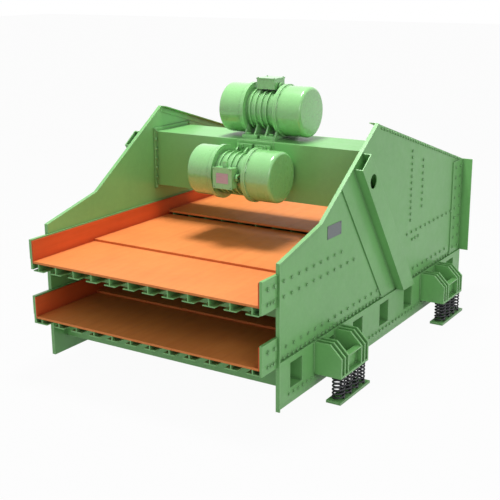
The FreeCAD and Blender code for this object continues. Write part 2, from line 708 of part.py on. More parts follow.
def make_housing(item):
    """Cast barrel with fins, two flanges, webs down to a notched foot, and bearing bores."""
    bore = "shaft_rad + run_gap"
    end = "barrel_half + flange_thk"
    cavity = "core_half + air_gap"
    profile = [("-(%s)" % end, bore), ("-(%s)" % cavity, bore),
               ("-(%s)" % cavity, "core_rad + air_gap"), (cavity, "core_rad + air_gap"),
               (cavity, bore), (end, bore), (end, "flange_rad"), ("barrel_half", "flange_rad"),
               ("barrel_half", "barrel_rad"), ("-barrel_half", "barrel_rad"),
               ("-barrel_half", "flange_rad"), ("-(%s)" % end, "flange_rad")]
    revolve(item, polygon(sketch(item, "XZ"), profile))
    start = "-fin_pitch * (fin_count - 1) / 2 - fin_thk / 2"
    fin = ring(item, "XZ", "barrel_rad - 1", "barrel_rad + fin_tall", start, start + " + fin_thk")
    row(item, [fin], "X", "fin_pitch", "fin_count")
    for spot in ("-web_out", "-web_in", "web_in", "web_out"):
        web = polygon(sketch(item, "YZ", spot + " - web_thk / 2"), [
            ("-web_half", "-axis_high + foot_thk"), ("web_half", "-axis_high + foot_thk"),
            ("web_half - web_lean", "-(core_rad + air_gap + web_sink)"),
            ("-web_half + web_lean", "-(core_rad + air_gap + web_sink)")])
        pad(item, web, "web_thk")
    foot = box_outline(sketch(item, "XY", "-axis_high"), ("-foot_long / 2", "-foot_wide / 2"),
                       ("foot_long / 2", "foot_wide / 2"))
    pad(item, foot, "foot_thk")
    for sign in "+-":
        notch = box_outline(sketch(item, "XY", "-axis_high + foot_thk"),
                            ("-foot_notch / 2", "%s(foot_wide / 2 - foot_notch_deep)" % sign.strip("+")),
                            ("foot_notch / 2", "%s(foot_wide / 2 + 1)" % sign.strip("+")))
        cut(item, notch, "foot_thk")
    holes = sketch(item, "XY", "-axis_high + foot_thk")
    for x in ("bolt_x", "-bolt_x"):
        for y in ("bolt_y", "-bolt_y"):
            circle(holes, (x, y), "bolt_dia / 2 + bolt_gap")
    cut(item, holes, "foot_thk")
    lug = sketch(item, "YZ", "lug_x - lug_thk / 2")
    polygon(lug, [("-lug_rad", "barrel_rad - 6"), ("lug_rad", "barrel_rad - 6"),
                  ("lug_rad", "lug_high"), ("lug_rad * 0.7", "lug_high + lug_rad * 0.7"),
                  ("0", "lug_high + lug_rad"),
                  ("-lug_rad * 0.7", "lug_high + lug_rad * 0.7"), ("-lug_rad", "lug_high")])
    circle(lug, ("0", "lug_high"), "lug_hole / 2")
    pad(item, lug, "lug_thk")


def make_cover(item, side):
    """Deep drawn cover with a flange; the weights turn inside it."""
    start = "barrel_half + flange_thk"
    ring_end = start + " + cover_ring"
    end = ring_end + " + cap_len"
    shift = "cap_wall * tan(22.5)"
    outline = [(start, "cap_rad - cap_wall"), (start, "flange_rad"), (ring_end, "flange_rad"),
               (ring_end, "cap_rad"), (end + " - cap_bevel", "cap_rad"),
               (end, "cap_rad - cap_bevel"), (end, "0"), (end + " - cap_wall", "0"),
               (end + " - cap_wall", "cap_rad - cap_bevel - " + shift),
               (end + " - cap_bevel - " + shift, "cap_rad - cap_wall")]
    if side < 0:
        outline = [("-(%s)" % x, r) for x, r in outline]
    revolve(item, polygon(sketch(item, "XZ"), outline))


def make_shaft(item):
    """Shaft with the rotor core."""
    end = "barrel_half + flange_thk + cover_ring + cap_len - cap_wall - shaft_end"
    profile = [("-(%s)" % end, "0"), ("-(%s)" % end, "shaft_rad"), ("-core_half", "shaft_rad"),
               ("-core_half", "core_rad"), ("core_half", "core_rad"), ("core_half", "shaft_rad"),
               (end, "shaft_rad"), (end, "0")]
    revolve(item, polygon(sketch(item, "XZ"), profile))


def make_weights(item):
    """Two half-disc weights clamped at each end of the shaft."""
    start = "barrel_half + flange_thk + weight_gap"
    pads = []
    for sign in "+-":
        for i in range(2):
            near = "%s + %d * (weight_thk + weight_gap)" % (start, i)
            offset = near if sign == "+" else "-(%s + weight_thk)" % near
            outline = sketch(item, "YZ", offset)
            half_disc(outline)
            circle(outline, ("0", "0"), "shaft_rad")
            pads.append(pad(item, outline, "weight_thk"))
    return pads


def half_disc(sk):
    """Lower half disc with a hub above the shaft."""
    big = num("weight_rad")
    hub = num("weight_hub")
    centre = FreeCAD.Vector(0, 0, 0)
    up = FreeCAD.Vector(0, 0, 1)
    sk.addGeometry(Part.ArcOfCircle(Part.Circle(centre, up, big), math.pi, 2 * math.pi), False)
    sk.addGeometry(Part.LineSegment(FreeCAD.Vector(big, 0, 0), FreeCAD.Vector(hub, 0, 0)), False)
    sk.addGeometry(Part.ArcOfCircle(Part.Circle(centre, up, hub), 0, math.pi), False)
    sk.addGeometry(Part.LineSegment(FreeCAD.Vector(-hub, 0, 0), FreeCAD.Vector(-big, 0, 0)), False)
    for a, b, c, d in ((0, 2, 1, 1), (1, 2, 2, 1), (2, 2, 3, 1), (3, 2, 0, 1)):
        sk.addConstraint(Sketcher.Constraint("Coincident", a, b, c, d))
    for arc, name in ((0, "weight_rad"), (2, "weight_hub")):
        sk.addConstraint(Sketcher.Constraint("Coincident", arc, 3, -1, 1))
        held = sk.addConstraint(Sketcher.Constraint("Radius", arc, num(name)))
        sk.setExpression("Constraints[%d]" % held, ex(name))
    sk.addConstraint(Sketcher.Constraint("PointOnObject", 0, 1, -1))
    sk.addConstraint(Sketcher.Constraint("PointOnObject", 0, 2, -1))
    sk.addConstraint(Sketcher.Constraint("PointOnObject", 2, 1, -1))
    sk.addConstraint(Sketcher.Constraint("PointOnObject", 2, 2, -1))


def make_terminal_box(item):
    """Terminal box with an overhanging lid and a cable gland, seated on a flat of the barrel."""
    seat = "barrel_rad + fin_tall"
    outline = box_outline(sketch(item, "XY", seat), ("-box_long / 2", "-box_wide / 2"),
                          ("box_long / 2", "box_wide / 2"))
    pad(item, outline, "box_top - box_lid - (%s)" % seat)
    lid = box_outline(sketch(item, "XY", "box_top - box_lid"),
                      ("-box_long / 2 - box_lip", "-box_wide / 2 - box_lip"),
                      ("box_long / 2 + box_lip", "box_wide / 2 + box_lip"))
    pad(item, lid, "box_lid")
    gland = sketch(item, "XZ", "-box_wide / 2")
    circle(gland, ("0", "(%s + box_top - box_lid) / 2" % seat), "gland_rad")
    pad(item, gland, "gland_long", back=True)


def make_bolts(item):
    """Foot bolts: a hexagon head above the foot and a shank down to the pad."""
    for x in ("bolt_x", "-bolt_x"):
        for y in ("bolt_y", "-bolt_y"):
            shank = sketch(item, "XY", "-axis_high")
            circle(shank, (x, y), "bolt_dia / 2")
            pad(item, shank, "foot_thk")
            head = sketch(item, "XY", "-axis_high + foot_thk")
            hexagon = [("%s + bolt_head / 2 * cos(%d)" % (x, 60 * i), "%s + bolt_head / 2 * sin(%d)"
                        % (y, 60 * i)) for i in range(6)]
            pad(item, polygon(head, hexagon), "bolt_head_high")


def make_motor(name, base, turn):
    """One vibration motor; its own Z points away from the foot, its X along the shaft.

    The weights of both motors point along the line of the throw, so their pulls add up there.
    """
    pieces = [("housing", make_housing), ("cover_right", lambda b: make_cover(b, 1)),
              ("cover_left", lambda b: make_cover(b, -1)), ("shaft", make_shaft),
              ("weights", make_weights), ("terminal_box", make_terminal_box), ("bolts", make_bolts)]
    for piece, build in pieces:
        lean_of_piece = "stroke_angle" if piece == "weights" else turn
        item = body("%s_%s" % (name, piece), base, lean_of_piece)
        build(item)
        nodes.append(item)


# ---------------------------------------------------------------- build, check and write

make_side_plate()
make_edge_bar()
make_top_angle()
make_corner_angle()
make_side_beam()
make_stiffener()
make_name_plate()
make_cross_tubes()
make_decks()
make_cheeks()
make_back_plate()
make_exciter_beam()
for end, start in (("front", "bracket_y"), ("rear", "bracket_y + bracket_span")):
    make_bracket("bracket_%s_right" % end, start)
    make_springs("springs_%s_right" % end, start)
    make_base("base_%s_right" % end, start)
make_motor("upper_motor", ("0", "beam_front + top_motor_set - mid_y",
                           "lift + beam_low + beam_high + pad_thk + axis_high"), None)
make_motor("lower_motor", ("0", "beam_front - pad_thk - axis_high - mid_y",
                           "lift + beam_low + front_motor_up"), "90")

doc.recompute()
for thing in doc.Objects:
    if "Invalid" in thing.State or "Error" in thing.State:
        raise RuntimeError("failed: %s %s" % (thing.Label, thing.State))
os.makedirs("parts", exist_ok=True)
for item in nodes:
    if item.Shape.isNull() or not item.Shape.isValid() or not item.Shape.Solids:
        raise RuntimeError("bad shape: " + item.Label)
    item.Shape.exportStep("parts/%s.step" % item.Label)
print("%d pieces written" % len(nodes))
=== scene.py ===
"""Looks of a double-deck vibrating sieve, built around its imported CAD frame. All sizes in metres."""
import json
import math

import bmesh
import bpy
from mathutils import Matrix, Vector


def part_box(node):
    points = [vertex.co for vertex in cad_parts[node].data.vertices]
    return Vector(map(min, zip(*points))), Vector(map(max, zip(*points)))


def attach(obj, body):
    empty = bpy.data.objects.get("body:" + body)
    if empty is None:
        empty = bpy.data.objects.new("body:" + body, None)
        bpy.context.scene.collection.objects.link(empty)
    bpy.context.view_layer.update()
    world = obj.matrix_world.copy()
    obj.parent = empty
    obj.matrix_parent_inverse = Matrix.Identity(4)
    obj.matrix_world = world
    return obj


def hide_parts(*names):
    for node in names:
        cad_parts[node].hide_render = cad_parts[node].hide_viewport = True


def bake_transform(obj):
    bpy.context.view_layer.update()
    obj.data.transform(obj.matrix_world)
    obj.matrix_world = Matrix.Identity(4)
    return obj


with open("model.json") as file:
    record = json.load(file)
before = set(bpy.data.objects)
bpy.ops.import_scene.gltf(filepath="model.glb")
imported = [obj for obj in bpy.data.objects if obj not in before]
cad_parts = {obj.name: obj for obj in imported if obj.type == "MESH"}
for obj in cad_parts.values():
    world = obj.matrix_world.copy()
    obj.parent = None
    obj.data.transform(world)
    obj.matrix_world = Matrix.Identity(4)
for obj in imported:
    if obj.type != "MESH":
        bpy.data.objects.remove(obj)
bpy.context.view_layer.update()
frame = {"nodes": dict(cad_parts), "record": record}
nodes = frame["nodes"]

# ---------------------------------------------------------------- places, from the frame

plate_low, plate_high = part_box("side_plate_right")
FRONT = plate_low[1]            # front edge of the side plates
BOTTOM = plate_low[2]           # lower edge of the side plates
INNER = plate_low[0]            # inner face of the right side plate
OUTER = plate_high[0]           # its outer face
BEAM_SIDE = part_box("side_beam_right")[1][0]   # outer face of the lower side beam
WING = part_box("upper_cheek_right")[1][0]      # outer face of the deck wings


def at(x, along, up):
    """A point by its distance behind the side plates' front edge and above their lower edge."""
    return Vector((x, FRONT + along, BOTTOM + up))


def spread(first, last, pitch):
    """Evenly spaced places from first to last, about a pitch apart."""
    count = max(1, round(abs(last - first) / pitch))
    return [first + (last - first) * i / count for i in range(count + 1)]


# ---------------------------------------------------------------- materials

def srgb(r, g, b):
    """A colour given as screen values from 0 to 255, as linear light."""
    def linear(v):
        v /= 255
        return v / 12.92 if v <= 0.04045 else ((v + 0.055) / 1.055) ** 2.4
    return (linear(r), linear(g), linear(b), 1)


class Graph:
    """A material's node tree, with short ways to add nodes and join them."""

    def __init__(self, name):
        self.material = bpy.data.materials.new(name)
        self.material.use_nodes = True
        self.tree = self.material.node_tree
        self.shader = self.tree.nodes["Principled BSDF"]

    def add(self, kind):
        return self.tree.nodes.new(kind)

    def join(self, source, target):
        self.tree.links.new(source, target)

    def noise(self, scale, detail=3.0, rough=0.5):
        place = self.add("ShaderNodeTexCoord")
        node = self.add("ShaderNodeTexNoise")
        node.inputs["Scale"].default_value = scale
        node.inputs["Detail"].default_value = detail
        node.inputs["Roughness"].default_value = rough
        self.join(place.outputs["Object"], node.inputs["Vector"])
        return node.outputs["Fac"]

    def ramp(self, source, low, high, values=(0.0, 1.0)):
        node = self.add("ShaderNodeMapRange")
        for name, value in zip(("From Min", "From Max", "To Min", "To Max"), (low, high) + values):
            node.inputs[name].default_value = value
        self.join(source, node.inputs["Value"])
        return node.outputs["Result"]

    def math(self, kind, a, b=None):
        node = self.add("ShaderNodeMath")
        node.operation = kind
        for spot, value in zip(node.inputs, (a, b)):
            if isinstance(value, (int, float)):
                spot.default_value = value
            elif value is not None:
                self.join(value, spot)
        return node.outputs[0]

    def mix(self, share, first, second):
        node = self.add("ShaderNodeMix")
        node.data_type = "RGBA"
        for spot, value in zip((node.inputs[0], node.inputs[6], node.inputs[7]), (share, first, second)):
            if isinstance(value, (int, float, tuple)):
                spot.default_value = value
            else:
                self.join(value, spot)
        return node.outputs[2]

    def soft_edges(self, radius):
        """Normals rounded over the edges, and how near an edge a point is, which masks the painted edge
        highlights.
        """
        bevel = self.add("ShaderNodeBevel")
        bevel.inputs["Radius"].default_value = radius
        bevel.samples = 4
        geometry = self.add("ShaderNodeNewGeometry")
        dot = self.add("ShaderNodeVectorMath")
        dot.operation = "DOT_PRODUCT"
        self.join(bevel.outputs["Normal"], dot.inputs[0])
        self.join(geometry.outputs["Normal"], dot.inputs[1])
        return bevel.outputs["Normal"], self.ramp(dot.outputs["Value"], 0.995, 0.80)

    # Ambient occlusion within a reach: the mask for painted shade in creases and recesses.
    def creases(self, reach):
        node = self.add("ShaderNodeAmbientOcclusion")
        node.inputs["Distance"].default_value = reach
        node.samples = 6
        return node.outputs["AO"]

    def bump(self, height, strength, distance, normal=None):
        node = self.add("ShaderNodeBump")
        node.inputs["Strength"].default_value = strength
        node.inputs["Distance"].default_value = distance
        self.join(height, node.inputs["Height"])
        if normal is not None:
            self.join(normal, node.inputs["Normal"])
        self.join(node.outputs["Normal"], self.shader.inputs["Normal"])

    def finish(self, colour, rough, **fixed):
        self.join(colour, self.shader.inputs["Base Color"])
        if isinstance(rough, (int, float)):
            self.shader.inputs["Roughness"].default_value = rough
        else:
            self.join(rough, self.shader.inputs["Roughness"])
        for key, value in fixed.items():
            self.shader.inputs[key.replace("_", " ")].default_value = value
        return self.material


# edge is the colour of the painted highlight laid along every edge.
def enamel(name, colour, edge, rough, coat, peel=0.06):
    """Sprayed machine enamel: slight drift of tone, edges made paler as a painted highlight, painted shade in
    the creases, orange peel.
    """
    g = Graph(name)
    drift = g.mix(g.ramp(g.noise(1.3, 4.0), 0.35, 0.65), colour, tuple(v * 0.90 for v in colour[:3]) + (1,))
    fine = g.mix(g.ramp(g.noise(26.0, 5.0, 0.6), 0.40, 0.75, (0.0, 0.35)), drift,
                 tuple(v * 1.10 for v in colour[:3]) + (1,))
    # Painted shade: creases and recesses darkened to 42 % of the colour by ambient occlusion.
    enamel_crease_shade = g.mix(g.ramp(g.creases(0.05), 0.25, 0.95), tuple(v * 0.42 for v in colour[:3]) + (1,), fine)
    # Painted highlight: edges mixed towards the pale edge colour.
    normal, edge_highlight_mask = g.soft_edges(0.004)
    wear_and_edge_highlight = g.mix(g.math("MULTIPLY", edge_highlight_mask, 0.8), enamel_crease_shade, edge)
    g.bump(g.noise(330.0, 2.0), peel, 0.0006, normal)
    uneven = g.ramp(g.noise(9.0, 5.0, 0.6), 0.3, 0.7, (rough - 0.05, rough + 0.08))
    return g.finish(wear_and_edge_highlight, uneven, Coat_Weight=coat, Coat_Roughness=0.12, Specular_IOR_Level=0.5)


def polyurethane(name, colour, dark, rough):
    """Cast polyurethane: matt, with faint rubbed streaks along the flow and a fine grain; painted shade in
    the creases and a painted highlight on the edges.
    """
    g = Graph(name)
    place = g.add("ShaderNodeTexCoord")
    stretch = g.add("ShaderNodeMapping")
    stretch.inputs["Scale"].default_value = (9.0, 0.8, 9.0)
    streak = g.add("ShaderNodeTexNoise")
    streak.inputs["Scale"].default_value = 2.4
    streak.inputs["Detail"].default_value = 5.0
    g.join(place.outputs["Object"], stretch.inputs["Vector"])
    g.join(stretch.outputs["Vector"], streak.inputs["Vector"])
    wear_and_edge_highlight = g.mix(g.ramp(streak.outputs["Fac"], 0.42, 0.72, (0.0, 0.16)), colour, dark)
    patch = g.mix(g.ramp(g.noise(1.7, 3.0), 0.4, 0.7, (0.0, 0.14)), wear_and_edge_highlight, dark)
    # Painted shade: creases and recesses darkened towards the dark orange by ambient occlusion.
    urethane_crease_shade = g.mix(g.ramp(g.creases(0.07), 0.15, 0.9), dark, patch)
    # Painted highlight: edges up to a quarter lighter than the orange.
    normal, edge_highlight_mask = g.soft_edges(0.005)
    urethane_edge_highlight = g.mix(g.math("MULTIPLY", edge_highlight_mask, 0.35), urethane_crease_shade, tuple(min(1, v * 1.25) for v in colour[:3]) + (1,))
    g.bump(g.noise(420.0, 3.0), 0.10, 0.0006, normal)
    return g.finish(urethane_edge_highlight, g.ramp(g.noise(14.0, 4.0), 0.3, 0.7, (rough - 0.06, rough + 0.06)),
                    Specular_IOR_Level=0.35)


def metal(name, colour, rough, brushed=(60.0, 60.0, 60.0), metallic=1.0):
    """Bare or blackened metal with fine marks."""
    g = Graph(name)
    place = g.add("ShaderNodeTexCoord")
    stretch = g.add("ShaderNodeMapping")
    stretch.inputs["Scale"].default_value = brushed
    marks = g.add("ShaderNodeTexNoise")
    marks.inputs["Scale"].default_value = 4.0
    marks.inputs["Detail"].default_value = 4.0
    g.join(place.outputs["Object"], stretch.inputs["Vector"])
    g.join(stretch.outputs["Vector"], marks.inputs["Vector"])
    tone = g.mix(g.ramp(marks.outputs["Fac"], 0.35, 0.7, (0.0, 0.5)), colour,
                 tuple(v * 0.6 for v in colour[:3]) + (1,))
    # Painted shade: creases darkened to 35 % of the metal's colour by ambient occlusion.
    metal_crease_shade = g.mix(g.ramp(g.creases(0.03), 0.2, 0.9), tuple(v * 0.35 for v in colour[:3]) + (1,), tone)
    g.bump(marks.outputs["Fac"], 0.12, 0.0005)
    return g.finish(metal_crease_shade, g.ramp(marks.outputs["Fac"], 0.3, 0.7, (rough - 0.07, rough + 0.1)),
                    Metallic=metallic)


GREEN = srgb(124, 188, 112)
# The second colour of each enamel is the painted edge highlight.
MAT = {
    "frame_green": enamel("frame_enamel", GREEN, srgb(190, 236, 176), 0.42, 0.15),
    "motor_green": enamel("motor_enamel", srgb(138, 204, 126), srgb(200, 245, 190), 0.26, 0.9, 0.10),
    "deck_polyurethane": polyurethane("deck_urethane", srgb(235, 142, 74), srgb(176, 72, 26), 0.55),
    # Painted shade: the liners' orange is a darker, redder copy of the deck's, standing for the shade on the
    # upright liners; both are the same polyurethane.
    "liner_polyurethane": polyurethane("liner_urethane_shaded_copy", srgb(214, 92, 42), srgb(140, 40, 14), 0.55),
    "spring_steel": metal("spring_black", srgb(62, 62, 66), 0.42, metallic=0.35),
    "plate_metal": metal("plate_grey", srgb(122, 127, 129), 0.42, (4.0, 220.0, 220.0), 0.6),
    "shaft_steel": metal("shaft_bright", srgb(190, 190, 192), 0.28),
    "weight_iron": metal("weight_cast", srgb(92, 92, 94), 0.55),
    "bolt_steel": enamel("bolt_enamel", srgb(108, 172, 98), srgb(190, 236, 176), 0.38, 0.2),
}
for name, thing in nodes.items():
    slot = next(s["material_slot"] for s in frame["record"]["subparts"] if s["node"] == name)
    thing.data.materials.clear()
    thing.data.materials.append(MAT[slot])

# ---------------------------------------------------------------- mesh helpers


def piece(name, build, slot, body, smooth=True):
    """A new mesh object from a bmesh filled by build, with its finish and the body it rides on."""
    mesh = bmesh.new()
    build(mesh)
    bmesh.ops.recalc_face_normals(mesh, faces=mesh.faces)
    data = bpy.data.meshes.new(name)
    mesh.to_mesh(data)
    mesh.free()
    thing = bpy.data.objects.new(name, data)
    bpy.context.collection.objects.link(thing)
    data.materials.append(MAT[slot])
    if smooth:
        for face in data.polygons:
            face.use_smooth = True
        data.set_sharp_from_angle(angle=math.radians(32))
    if body:
        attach(thing, body)
    return thing


def turn_to(direction):
    """Turns the Z axis to a direction."""
    return Vector(direction).to_track_quat("Z", "Y").to_matrix().to_4x4()


def lathe(mesh, profile, centre, direction, steps=48):
    """Revolves (radius, height) points about an axis."""
    place = Matrix.Translation(centre) @ turn_to(direction)
    rings = []
    for radius, height in profile:
        if radius < 1e-6:
            rings.append([mesh.verts.new(place @ Vector((0, 0, height)))])
            continue
        rings.append([mesh.verts.new(place @ Vector((radius * math.cos(2 * math.pi * i / steps),
                                                     radius * math.sin(2 * math.pi * i / steps), height)))
                      for i in range(steps)])
    for low, high in zip(rings, rings[1:]):
        for i in range(steps):
            j = (i + 1) % steps
            if len(low) == 1 and len(high) == 1:
                continue
            if len(low) == 1:
                mesh.faces.new((low[0], high[i], high[j]))
            elif len(high) == 1:
                mesh.faces.new((low[i], low[j], high[0]))
            else:
                mesh.faces.new((low[i], low[j], high[j], high[i]))


def prism(mesh, outline, place, depth):
    """A flat outline in a place's XY plane, pulled up along its Z."""
    low = [mesh.verts.new(place @ Vector((x, y, 0))) for x, y in outline]
    high = [mesh.verts.new(place @ Vector((x, y, depth))) for x, y in outline]
    mesh.faces.new(low[::-1])
    mesh.faces.new(high)
    for i in range(len(outline)):
        j = (i + 1) % len(outline)
        mesh.faces.new((low[i], low[j], high[j], high[i]))


def hex_head(mesh, spot, direction, size):
    """Hexagon bolt head with a chamfered top on a round washer; size is the thread."""
    lathe(mesh, [(0, 0), (size * 1.02, 0), (size * 1.02, size * 0.14), (0, size * 0.14)], spot, direction, 16)
    place = Matrix.Translation(spot) @ turn_to(direction)
    rings = []
    for share, height in ((1.0, 0.14), (1.0, 0.68), (0.86, 0.78)):
        rings.append([mesh.verts.new(place @ Vector((size * 0.87 * share * math.cos(math.pi * i / 3 + 0.3),
                                                     size * 0.87 * share * math.sin(math.pi * i / 3 + 0.3),
                                                     size * height))) for i in range(6)])
    for low, high in zip(rings, rings[1:]):
        for i in range(6):
            j = (i + 1) % 6
            mesh.faces.new((low[i], low[j], high[j], high[i]))
    mesh.faces.new(rings[0][::-1])
    mesh.faces.new(rings[-1])


def tube(mesh, points, radius, steps=10, closed_ends=True):
    """A round tube through points, with a steady frame along it."""
    rings = []
    side = None
    for i, point in enumerate(points):
        ahead = (points[min(i + 1, len(points) - 1)] - points[max(i - 1, 0)]).normalized()
        if side is None:
            side = ahead.orthogonal().normalized()
        side = (side - ahead * side.dot(ahead)).normalized()
        other = ahead.cross(side)
        reach = radius(i / (len(points) - 1)) if callable(radius) else radius
        rings.append([mesh.verts.new(point + reach * (side * math.cos(2 * math.pi * k / steps)
                                                      + other * math.sin(2 * math.pi * k / steps)))
                      for k in range(steps)])
    for low, high in zip(rings, rings[1:]):
        for k in range(steps):
            n = (k + 1) % steps
            mesh.faces.new((low[k], low[n], high[n], high[k]))
    if closed_ends:
        mesh.faces.new(rings[0][::-1])
        mesh.faces.new(rings[-1])


def weld(mesh, start, end, size=0.005):
    """A weld bead: a thin tube whose thickness ripples."""
    count = max(4, int((end - start).length / (size * 1.6)))
    points = [start.lerp(end, i / count) for i in range(count + 1)]
    tube(mesh, points, lambda t: size * (0.86 + 0.14 * math.cos(2 * math.pi * t * count / 2)), 6)


# ---------------------------------------------------------------- springs

TURNS = 5.0
WIRE = 0.0165


def coil(mesh, centre, low, high, outer):
    """A coil spring with its end turns closed and ground flat."""
    steps = 28
    total = TURNS + 1.5
    radius = outer - WIRE / 2
    points = []
    for i in range(int(total * steps) + 1):
        t = i / steps
        dead = 0.75
        share = min(max((t - dead) / (total - 2 * dead), 0), 1)
        rise = WIRE / 2 + WIRE * min(t, dead) * 0.5 / dead
        top = WIRE * min(max(t - total + dead, 0), dead) * 0.5 / dead
        z = low + rise + (high - low - 2 * WIRE) * share + top
        points.append(Vector((centre[0] + radius * math.cos(2 * math.pi * t),
                              centre[1] + radius * math.sin(2 * math.pi * t), z)))
    tube(mesh, points, WIRE / 2, 12)


def make_springs():
    """Helical springs in place of the plain sleeves."""
    for side in ("left", "right"):
        for end in ("front", "rear"):
            node = "springs_%s_%s" % (end, side)
            low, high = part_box(node)
            outer = (high[0] - low[0]) / 2
            count = 4
            first = low[1] + outer
            pitch = (high[1] - low[1] - 2 * outer) / (count - 1)

            def build(mesh, low=low, high=high, outer=outer, first=first, pitch=pitch):
                for i in range(count):
                    coil(mesh, ((low[0] + high[0]) / 2, first + i * pitch), low[2], high[2], outer)
            springs = piece("coils_%s_%s" % (end, side), build, "spring_steel", None)
            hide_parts(node)
            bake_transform(springs)


make_springs()

# ---------------------------------------------------------------- bolts of the box

M16, M20 = 0.016, 0.020
REBATE = 0.005          # lower part of a wing, behind its upper part
CORNER_THK = 0.010      # leg of the corner angle that lies on the plate
END_FLANGE = 0.016      # end flange of the exciter beam
FLANGE_INSET = 0.018    # bolts from the edge of that flange

# Level rows on a side plate: first and last place behind the front edge, pitch, height.
PLATE_ROWS = ((0.099, 3.950, 0.074, 0.445), (0.145, 3.600, 0.122, 0.528), (0.106, 1.106, 0.125, 1.100),
              (0.106, 1.356, 0.125, 0.968), (2.548, 3.841, 0.118, 0.930), (2.683, 2.837, 0.077, 0.850))
# Upright rows behind the stiffener: place behind the front edge, lowest and highest bolt, pitch.
PLATE_COLUMNS = ((2.617, 1.063, 1.768, 0.064), (2.902, 1.154, 1.635, 0.068))
BEAM_ROW = (0.151, 3.900, 0.076, 0.112)
CORNER_COLUMNS = ((3.82, 0.50, 1.40, 0.112), (3.95, 0.50, 1.40, 0.112))
# The row under the rear slope: its two ends, and a bolt's share of the way.
SLOPE_START, SLOPE_END, SLOPE_SHARE = Vector((0, 1.875, 2.093)), Vector((0, 3.883, 1.496)), 0.031
# Wings of both decks: height of the row of two and of the row of three below it.
WING_ROWS = ((1.100, 0.970), (0.575, 0.445))


def bolt_rows(name, spots):
    """One piece that holds many bolt heads: (place, direction, thread)."""
    def build(mesh):
        for spot, direction, size in spots:
            hex_head(mesh, spot, direction, size)
    piece(name, build, "bolt_steel", "screen_box")


def level_row(x, row, out):
    """Bolt heads along the machine, on a face at x."""
    first, last, pitch, height = row
    return [(at(x, along, height), out, M16) for along in spread(first, last, pitch)]


def upright_row(x, column, out):
    """Bolt heads one above the other, on a face at x."""
    along, lowest, highest, pitch = column
    return [(at(x, along, up), out, M16) for up in spread(lowest, highest, pitch)]


def plate_bolts(sign):
    """Bolt heads on the outside of one side plate."""
    out = (sign, 0, 0)
    spots = []
    for row in PLATE_ROWS:
        spots += level_row(sign * OUTER, row, out)
    for column in PLATE_COLUMNS:
        spots += upright_row(sign * OUTER, column, out)
    return spots


def beam_bolts(sign):
    """Bolt heads outside: side beam, rear slope, corner angle and wings."""
    out = (sign, 0, 0)
    spots = level_row(sign * BEAM_SIDE, BEAM_ROW, out)
    for share in spread(0.0, 1.0, SLOPE_SHARE):
        place = SLOPE_START.lerp(SLOPE_END, share)
        spots.append((at(sign * OUTER, place.y, place.z), out, M16))
    for column in CORNER_COLUMNS:
        spots += upright_row(sign * (OUTER + CORNER_THK), column, out)
    for upper, lower in WING_ROWS:
        for along in (-0.150, -0.050):
            spots.append((at(sign * WING, along, upper), out, M20))
        for along in (-0.146, -0.095, -0.052):
            spots.append((at(sign * (WING - REBATE), along, lower), out, M16))
    return spots


def flange_bolts(sign):
    """Bolt heads on the end flange of the exciter beam, seen from inside."""
    low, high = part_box("exciter_beam")
    face = sign * (INNER - END_FLANGE)
    spots = []
    for up in spread(low[2] + FLANGE_INSET, high[2] - FLANGE_INSET, 0.098):
        for along in (low[1] + FLANGE_INSET, high[1] - FLANGE_INSET):
            spots.append((Vector((face, along, up)), (-sign, 0, 0), M16))
    return spots


def plate_rivets():
    """Four round rivets that hold the bare name plate."""
    low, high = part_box("name_plate")
    inset = 0.014

    def build(mesh):
        for along in (low[1] + inset, high[1] - inset):
            for up in (low[2] + inset, high[2] - inset):
                lathe(mesh, [(0, 0), (0.006, 0), (0.005, 0.0022), (0.0025, 0.0036), (0, 0.004)],
                      (high[0], along, up), (1, 0, 0), 12)
    piece("plate_rivets", build, "plate_metal", "screen_box")


for sign, word in ((1, "right"), (-1, "left")):
    bolt_rows("plate_bolts_" + word, plate_bolts(sign))
    bolt_rows("beam_bolts_" + word, beam_bolts(sign))
    bolt_rows("flange_bolts_" + word, flange_bolts(sign))
plate_rivets()


# ---------------------------------------------------------------- welds of the brackets

RIB_THK, RIB_PITCH, RIB_HIGH = 0.020, 0.062, 0.27
BEAD = 0.0045


def bracket_welds(side, end):
    """Weld beads where the ribs of a spring bracket meet the side beam."""
    low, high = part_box("bracket_%s_%s" % (end, side))
    sign = 1 if side == "right" else -1
    x = sign * (BEAM_SIDE + 0.002)
    edges = []
    for k in range(3):
        for offset in (0, RIB_THK):
            edges.append(low[1] + k * RIB_PITCH + offset)
            edges.append(high[1] - k * RIB_PITCH - offset)

    def build(mesh):
        for y in edges:
            weld(mesh, Vector((x, y, high[2] - RIB_HIGH)), Vector((x, y, high[2] - 0.004)), BEAD)
    piece("welds_%s_%s" % (end, side), build, "frame_green", "screen_box")


for side in ("left", "right"):
    for end in ("front", "rear"):
        bracket_welds(side, end)

# ---------------------------------------------------------------- motors

RIM = 0.034          # rounding of a cover's rim
RING = 0.018         # thickness of a cover's flange
WALL = 0.008         # wall of a cover
STEP = 0.015         # flange beyond the cover
COVER_BOLTS = 12
LID_HALF = 0.100     # half a lid across the shaft
LID_INSET = 0.014    # screws from the edge of a lid
LABEL_HALF = (0.066, 0.048)


def shaft_centre(name):
    """Middle of a motor's shaft across the machine's side view: (Y, Z)."""
    low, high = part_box(name + "_cover_right")
    return (low[1] + high[1]) / 2, (low[2] + high[2]) / 2


